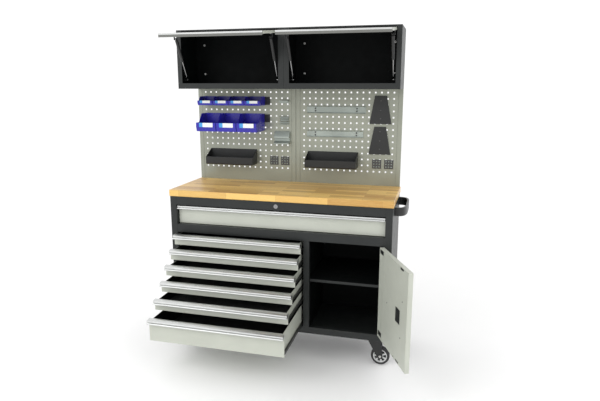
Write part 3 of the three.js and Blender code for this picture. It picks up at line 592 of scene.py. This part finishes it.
def add_door_folds():
    """Two ribs, the folds along the edges, and raised fields that leave the grip free."""
    low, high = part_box("door_panel")
    grip_low, grip_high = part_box("door_grip")
    bottom, top = low.z + 2 * MM, high.z - 2 * MM
    inset = 4 * MM
    edge_low, edge_high = bottom + inset, top - inset
    bm = bmesh.new()
    for u in DOOR_RIBS:
        across = (u - DOOR_RIB_HALF, u + DOOR_RIB_HALF)
        add_door_pad(bm, across, (bottom + 6 * MM, top - 6 * MM), 0.9 * MM)
    for across in DOOR_EDGE_FOLDS:
        add_door_pad(bm, across, (edge_low, edge_high), 1.4 * MM)
    start, grip_start, grip_end, end = DOOR_FIELDS
    fields = (((start, grip_start), (edge_low, edge_high)), ((grip_end, end), (edge_low, edge_high)),
              ((grip_start, grip_end), (edge_low, grip_low.z - inset)),
              ((grip_start, grip_end), (grip_high.z + inset, edge_high)))
    for across, heights in fields:
        add_door_pad(bm, across, heights, 0.7 * MM)
    finish_piece("door_inner_folds", bm, LIGHT_GREY, "door", bevel=0.4 * MM)


def add_door_fittings():
    """Screws, and stepped plates for the hinges and the latches."""
    turn = door_place()
    bm = bmesh.new()
    for u, z in DOOR_SCREWS:
        place = turn @ facing((0, 1, 0), (-u * MM, DOOR_THICK, z * MM))
        add_disc_head(bm, 4 * MM, 2 * MM, place)
    finish_piece("door_screws", bm, DARK_STEEL, "door")
    step, full = 0.8 * MM, 1.6 * MM
    bm = bmesh.new()
    for u0, u1, z0, z1 in DOOR_PLATES:
        add_door_pad(bm, (u0, u1), (z0 * MM, z1 * MM), step)
        add_door_pad(bm, (u0 + 4, u1 - 4), ((z0 + 3) * MM, (z1 - 3) * MM), full, step)
    finish_piece("door_hinge_and_latch_plates", bm, BLACK_METAL, "door", bevel=0.3 * MM)


def dress_cupboard():
    skin("door_panel", LIGHT_GREY, bevel=1.0 * MM)
    skin("door_grip", BLACK_PLASTIC, bevel=0.6 * MM)
    add_door_folds()
    add_door_fittings()


# Wheels


def dress_wheel(node):
    """Tyre with rounded shoulders, spoked rim with its hub, and the dark web inside the rim."""
    low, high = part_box(node)
    place = facing((0, 1, 0), (low + high) / 2)
    radius = (high.z - low.z) / 2
    side = (high.y - low.y) / 2
    seat = radius * SEAT_SHARE
    rim_inside = seat - RIM_DEPTH
    shoulder = [(seat, 2 * MM), (radius - 7 * MM, 1 * MM), (radius - 2.5 * MM, 3.5 * MM), (radius, 9 * MM)]
    tread = [(r, -side + depth) for r, depth in shoulder]
    tread += [(r, side - depth) for r, depth in reversed(shoulder)]
    bm = bmesh.new()
    add_lathe(bm, tread, place, WHEEL_SEGMENTS)
    finish_piece(f"{node}_tyre", bm, RUBBER, node, bevel=0.4 * MM, replaced=[node])

    rim = [(rim_inside, -side + 3 * MM), (seat, -side + 2.5 * MM), (seat, side - 2.5 * MM),
           (rim_inside, side - 3 * MM), (seat - 6 * MM, 0)]
    hub = [(BORE_RADIUS, -side), (HUB_RADIUS, -side), (HUB_RADIUS + 2 * MM, 0), (HUB_RADIUS, side),
           (BORE_RADIUS, side)]
    bm = bmesh.new()
    add_lathe(bm, rim, place, WHEEL_SEGMENTS)
    add_lathe(bm, hub, place, 32)
    for i in range(SPOKES):
        turn = place @ Matrix.Rotation(2 * math.pi * i / SPOKES, 4, "Z")
        for face in (-1, 1):
            z0, z1 = sorted((face * (side - 9 * MM), face * (side - 4 * MM)))
            spoke_low = (HUB_RADIUS - 1 * MM, -SPOKE_HALF, z0)
            add_box(bm, spoke_low, (seat - 3 * MM, SPOKE_HALF, z1), turn)
    finish_piece(f"{node}_rim", bm, RIM_GREY, node, bevel=0.6 * MM)

    web = [(HUB_RADIUS, -WEB_HALF), (rim_inside, -WEB_HALF), (rim_inside, WEB_HALF), (HUB_RADIUS, WEB_HALF)]
    bm = bmesh.new()
    add_lathe(bm, web, place, WHEEL_SEGMENTS)
    finish_piece(f"{node}_web", bm, BLACK_PLASTIC, node)


def add_axle_nuts(body, wheel_node):
    low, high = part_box(wheel_node)
    middle = (low + high) / 2
    bm = bmesh.new()
    for face in (-1, 1):
        place = facing((0, face, 0), (middle.x, middle.y + face * NUT_OUT, middle.z))
        add_disc_head(bm, 9 * MM, 5 * MM, place, segments=6, recess=False)
    finish_piece(f"{wheel_node}_axle_nuts", bm, STEEL, body, bevel=0.5 * MM)


def dress_casters():
    for end in ("front", "rear"):
        skin(f"swivel_fork_{end}", BLACK_METAL, bevel=1.0 * MM)
        skin(f"fixed_bracket_{end}", BLACK_METAL, bevel=1.0 * MM)
        for kind, body in (("swivel", f"swivel_{end}"), ("fixed", "bench")):
            dress_wheel(f"{kind}_wheel_{end}")
            add_axle_nuts(body, f"{kind}_wheel_{end}")


# Tool wall


def add_perforated_sheet(bm, sign, x0, x1, y, z0, z1):
    """Flat sheet with square holes on the pitch grid, closed round its edges and holes."""
    half_hole = HOLE / 2
    columns = [sign * (HOLE_FIRST_X + k * HOLE_PITCH) for k in range(HOLE_COLUMNS)]
    rows = [HOLE_TOP_Z - k * HOLE_PITCH for k in range(HOLE_ROWS)]
    xs = sorted([x0, x1] + [c + d for c in columns for d in (-half_hole, half_hole)])
    zs = sorted([z0, z1] + [r + d for r in rows for d in (-half_hole, half_hole)])
    open_columns = {round(c - half_hole, 6) for c in columns}
    open_rows = {round(r - half_hole, 6) for r in rows}
    near, far = [[[bm.verts.new((x, depth, z)) for z in zs] for x in xs] for depth in (y, y + WALL_SHEET)]
    solid = {}
    for i, x in enumerate(xs[:-1]):
        for j, z in enumerate(zs[:-1]):
            solid[i, j] = not (round(x, 6) in open_columns and round(z, 6) in open_rows)
    for (i, j), filled in solid.items():
        if not filled:
            continue
        for layer in (near, far):
            bm.faces.new([layer[i][j], layer[i + 1][j], layer[i + 1][j + 1], layer[i][j + 1]])
        edges = {(-1, 0): ((i, j), (i, j + 1)), (1, 0): ((i + 1, j), (i + 1, j + 1)),
                 (0, -1): ((i, j), (i + 1, j)), (0, 1): ((i, j + 1), (i + 1, j + 1))}
        for (di, dj), ((ai, aj), (bi, bj)) in edges.items():
            if not solid.get((i + di, j + dj), False):
                bm.faces.new([near[ai][aj], near[bi][bj], far[bi][bj], far[ai][aj]])


def dress_wall(side):
    """Perforated sheet, and its corner posts, returns above and below, and folds behind the gaps."""
    sign = SIDES[side]
    node = f"wall_panel_{side}"
    low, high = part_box(node)
    inner, outer = (low.x, high.x) if sign > 0 else (high.x, low.x)
    inner_post = inner + sign * POST_WIDTH
    outer_post = outer - sign * POST_WIDTH
    sheet_x0, sheet_x1 = sorted((inner_post + sign * POST_GAP, outer_post - sign * POST_GAP))
    bm = bmesh.new()
    add_perforated_sheet(bm, sign, sheet_x0, sheet_x1, low.y, low.z, high.z)
    finish_piece(f"{node}_sheet", bm, WALL_GREY, "bench", replaced=[node])

    sheet_back = low.y + WALL_SHEET
    z0, z1 = low.z + WALL_SHEET, high.z - WALL_SHEET
    bm = bmesh.new()
    for ends in ((inner, inner_post), (outer_post, outer)):
        x0, x1 = sorted(ends)
        add_box(bm, (x0, low.y, low.z), (x1, high.y, high.z))
    for return_low, return_high in ((low.z, z0), (z1, high.z)):
        add_box(bm, (sheet_x0, sheet_back, return_low), (sheet_x1, high.y, return_high))
    fold_front = sheet_back + FOLD_GAP
    for post, inwards in ((inner_post, sign), (outer_post, -sign)):
        x0, x1 = sorted((post, post + inwards * FOLD_WIDTH))
        add_box(bm, (x0, fold_front, z0), (x1, fold_front + WALL_SHEET, z1))
    finish_piece(f"{node}_posts", bm, WALL_GREY, "bench", bevel=0.8 * MM)


# Bins, trays and holders, with their sizes in millimetres


def add_bin_labels(node, count, width, pitch, heights):
    """White label with a blue tab at its left on the front of every bin."""
    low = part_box(node)[0]
    z0, z1 = [low.z + height * MM for height in heights]
    front, back = low.y - LABEL_PROUD, low.y + LABEL_SUNK
    white = bmesh.new()
    blue = bmesh.new()
    for i in range(count):
        left = low.x + i * pitch * MM
        x0, x1 = left + LABEL_START * width * MM, left + LABEL_END * width * MM
        edge = x0 + LABEL_TAB * (x1 - x0)
        add_box(blue, (x0, front, z0), (edge, back, z1))
        add_box(white, (edge, front, z0), (x1, back, z1))
    finish_piece(f"{node}_labels", white, LABEL_WHITE, "bench", bevel=0.2 * MM)
    finish_piece(f"{node}_label_tabs", blue, LABEL_BLUE, "bench", bevel=0.2 * MM)


def add_tool_rail(name, x0, x1, top, bottom, fixings):
    """Shallow folded strip on the wall with a lip along its top and bottom, and its fixings."""
    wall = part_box("wall_panel_right")[0].y
    middle = (top + bottom) / 2
    lip = 10
    face = 3
    outline = [(0, top), (-lip, top), (-lip, top - 2), (-face, top - 5), (-face, bottom + 5),
               (-lip, bottom + 2), (-lip, bottom), (0, bottom)]
    bm = bmesh.new()
    add_strip(bm, wall, outline, x0, x1)
    finish_piece(name, bm, GALVANISED, "bench", bevel=0.5 * MM)
    bm = bmesh.new()
    for x in fixings:
        for z in (middle - 8, middle + 8):
            add_disc_head(bm, 5 * MM, 4 * MM, facing((0, -1, 0), (x * MM, wall - face * MM, z * MM)))
    finish_piece(f"{name}_fixings", bm, DARK_STEEL, "bench")


def add_small_holders():
    """Hook, plate with four bars, and stepped bracket, one below the other."""
    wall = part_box("wall_panel_left")[0].y
    bm = bmesh.new()
    add_strip(bm, wall, HOLDER_HOOK, -106, -45)
    add_box(bm, (-104 * MM, wall - 3 * MM, 1391 * MM), (-48 * MM, wall, 1448 * MM))
    for z in HOLDER_BARS:
        bar = [(-3, z), (-14, z + 2), (-16, z + 5), (-14, z + 6), (-3, z + 4)]
        add_strip(bm, wall, bar, -106, -46)
    add_strip(bm, wall, HOLDER_STEP, -141, -39)
    finish_piece("small_wall_holders", bm, GALVANISED, "bench", bevel=0.6 * MM)


def add_hook_plates():
    """Four dark plates, each with rows of short pegs."""
    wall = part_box("wall_panel_left")[0].y
    size = PEG_PLATE_SIZE
    bottom = PEG_PLATE_BOTTOM
    front = wall - PEG_PLATE_THICK
    plates = bmesh.new()
    pegs = bmesh.new()
    for x in PEG_PLATES:
        left = x * MM
        add_box(plates, (left, front, bottom), (left + size, wall, bottom + size))
        for across in PEG_SHARES:
            for up in PEG_SHARES:
                spot = (left + across * size, front, bottom + up * size)
                add_disc_head(pegs, 4.5 * MM, 6 * MM, facing((0, -1, 0), spot), segments=12)
    finish_piece("hook_plates", plates, DARK_STEEL, "bench", bevel=0.8 * MM)
    finish_piece("hook_plate_pegs", pegs, GALVANISED, "bench")


def dress_accessories():
    for node in ("small_bin_rail", "large_bin_rail"):
        skin(node, BLACK_METAL)
    for node in ("small_bins", "large_bins"):
        skin(node, BLUE_PLASTIC)
    for node in ("tray_left", "tray_right"):
        skin(node, BLACK_PLASTIC, bevel=1.0 * MM)
    for node in ("tool_holder_upper", "tool_holder_lower"):
        skin(node, BLACK_METAL, bevel=1.0 * MM)
        low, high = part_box(node)
        bm = bmesh.new()
        for drop in (30, 88, 140):
            spot = ((low.x + high.x) / 2, low.y, high.z - drop * MM)
            add_disc_head(bm, 4.5 * MM, 1.6 * MM, facing((0, -1, 0), spot))
        finish_piece(f"{node}_screws", bm, DARK_STEEL, "bench")
    add_bin_labels("small_bins", count=4, width=104, pitch=108, heights=(14, 30))
    add_bin_labels("large_bins", count=3, width=135, pitch=139, heights=(28, 55))
    add_tool_rail("tool_rail_upper", x0=75, x1=453, top=1515, bottom=1470, fixings=(131, 397))
    add_tool_rail("tool_rail_lower", x0=75, x1=440, top=1362, bottom=1320, fixings=(131, 397))
    add_small_holders()
    add_hook_plates()


# Upper cabinets, lids and struts


def add_cabinet_painted_shade_and_bolts(side):
    """Near-black sheets inside a wall cabinet as painted shade, with the bolts that hold it to the wall panel."""
    sign = SIDES[side]
    low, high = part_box(f"upper_cabinet_{side}")
    gap = 2.05 * MM
    thin = 0.3 * MM
    x0, x1 = low.x + gap, high.x - gap
    y0, y1 = low.y + gap, high.y - gap
    z0, z1 = low.z + gap, high.z - gap
    bm = bmesh.new()
    add_box(bm, (x0, y1 - thin, z0), (x1, y1, z1))
    add_box(bm, (x0, y0, z0), (x1, y1 - thin, z0 + thin))
    add_box(bm, (x0, y0, z1 - thin), (x1, y1 - thin, z1))
    add_box(bm, (x0, y0, z0 + thin), (x0 + thin, y1 - thin, z1 - thin))
    add_box(bm, (x1 - thin, y0, z0 + thin), (x1, y1 - thin, z1 - thin))
    finish_piece(f"upper_cabinet_{side}_shade_sheets", bm, SHADE_BLACK, "bench")
    bm = bmesh.new()
    for x in (58, 621):
        for z in (1716, 1900):
            add_disc_head(bm, 7 * MM, 4 * MM, facing((0, -1, 0), (sign * x * MM, y1 - thin, z * MM)))
    finish_piece(f"upper_cabinet_{side}_bolts", bm, ZINC, "bench")


def lid_place(side):
    joint = JOINTS[f"lid_{side}_hinge"]
    opened = math.radians(joint["range_deg"][0])
    return Matrix.Translation((0, joint["pos_m"][1], joint["pos_m"][2])) @ Matrix.Rotation(opened, 4, "X")


def add_lid_edge(side):
    """Bright grip strip along the free edge, a grey band beside it that is light grey paint darkened as painted
    shade, and pale paint on both ends.
    """
    sign = SIDES[side]
    turn = lid_place(side)
    x0, x1 = sorted(sign * end for end in STRIP_ENDS)
    bm = bmesh.new()
    add_box(bm, (x0, STRIP_FACE, STRIP_EDGE), (x1, 0.5 * MM, STRIP_TURN), turn)
    add_box(bm, (x0, STRIP_FACE, STRIP_TURN), (x1, STRIP_BACK, STRIP_END), turn)
    finish_piece(f"lid_{side}_grip_strip", bm, ALUMINIUM, f"lid_{side}", bevel=0.3 * MM)
    # Grey band: the lid's light grey edge, darkened as painted shade
    bm = bmesh.new()
    add_box(bm, (x0, 1 * MM, -288.3 * MM), (x1, 14.2 * MM, -286 * MM), turn)
    finish_piece(f"lid_{side}_painted_shade_band", bm, LID_SHADE_GREY, f"lid_{side}", bevel=0.3 * MM)
    bm = bmesh.new()
    for end in LID_ENDS:
        x = sign * end
        add_box(bm, (x - LID_SKIN, -7.6 * MM, -286 * MM), (x + LID_SKIN, 7.6 * MM, -6 * MM), turn)
    finish_piece(f"lid_{side}_end_flanges", bm, LIGHT_GREY, f"lid_{side}")


def add_strut_brackets(side):
    """Bracket with two rivets for each strut of a lid."""
    sign = SIDES[side]
    turn = lid_place(side)
    bm = bmesh.new()
    for near, far in ((39.5, 52), (645.5, 633)):
        x0, x1 = sorted((sign * near * MM, sign * far * MM))
        add_box(bm, (x0, BRACKET_BASE, -116 * MM), (x1, BRACKET_TOP, -88 * MM), turn)
        for z in (-111, -93):
            spot = ((x0 + x1) / 2, BRACKET_TOP, z * MM)
            add_disc_head(bm, 2.6 * MM, 1.6 * MM, turn @ facing((0, 1, 0), spot), segments=12)
    finish_piece(f"lid_{side}_strut_brackets", bm, STEEL, f"lid_{side}", bevel=0.2 * MM)


def dress_upper(side):
    skin(f"upper_cabinet_{side}", CHARCOAL)
    skin(f"lid_{side}", CHARCOAL, bevel=1.2 * MM)
    add_cabinet_painted_shade_and_bolts(side)
    add_lid_edge(side)
    add_strut_brackets(side)
    for where in ("inner", "outer"):
        skin(f"strut_rod_{side}_{where}", CHROME, bevel=0.3 * MM)
        skin(f"strut_tube_{side}_{where}", BLACK_METAL, bevel=0.4 * MM)


# Studio: floor, light and camera


def plain_stage():
    bm = bmesh.new()
    signs = ((-1, -1), (1, -1), (1, 1), (-1, 1))
    bm.faces.new([bm.verts.new((x * FLOOR_REACH, y * FLOOR_REACH, 0)) for x, y in signs])
    mesh = bpy.data.meshes.new("studio_floor")
    bm.to_mesh(mesh)
    bm.free()
    mesh.materials.append(coated("pale_floor", FLOOR_WHITE, 0.8, grain=60, bump=0.01, variation=0.005))
    floor = bpy.data.objects.new("studio_floor", mesh)
    scene.collection.objects.link(floor)


def area_light(name, place, size, power):
    light = bpy.data.lights.new(name, "AREA")
    light.shape = "RECTANGLE"
    light.size, light.size_y = size
    light.energy = power
    lamp = bpy.data.objects.new(name, light)
    scene.collection.objects.link(lamp)
    lamp.location = place
    towards = Vector(LIGHT_TARGET) - Vector(place)
    lamp.rotation_euler = towards.to_track_quat("-Z", "Y").to_euler()


def light_studio():
    world = bpy.data.worlds.new("studio")
    world.use_nodes = True
    background = world.node_tree.nodes["Background"]
    background.inputs["Color"].default_value = (1, 1, 1, 1)
    background.inputs["Strength"].default_value = WORLD_STRENGTH
    scene.world = world
    area_light("key", (-2.2, -3.4, 3.4), size=(2.4, 2.0), power=45)
    area_light("fill", (2.6, -2.6, 2.0), size=(1.6, 2.2), power=10)


def place_camera():
    camera = bpy.data.cameras.new("camera")
    camera.lens = CAMERA_LENS
    camera.sensor_width = SENSOR
    camera.sensor_fit = "HORIZONTAL"
    viewer = bpy.data.objects.new("camera", camera)
    scene.collection.objects.link(viewer)
    viewer.location = CAMERA_PLACE
    viewer.rotation_euler = (math.radians(CAMERA_TILT), 0, math.radians(CAMERA_YAW))
    scene.camera = viewer


scene.view_settings.view_transform = "Standard"
place_camera()
light_studio()
plain_stage()
dress_base()
add_back_rivets()
add_cupboard_painted_shade()
dress_drawers()
dress_cupboard()
dress_casters()
for wall_side in SIDES:
    dress_wall(wall_side)
    dress_upper(wall_side)
dress_accessories()
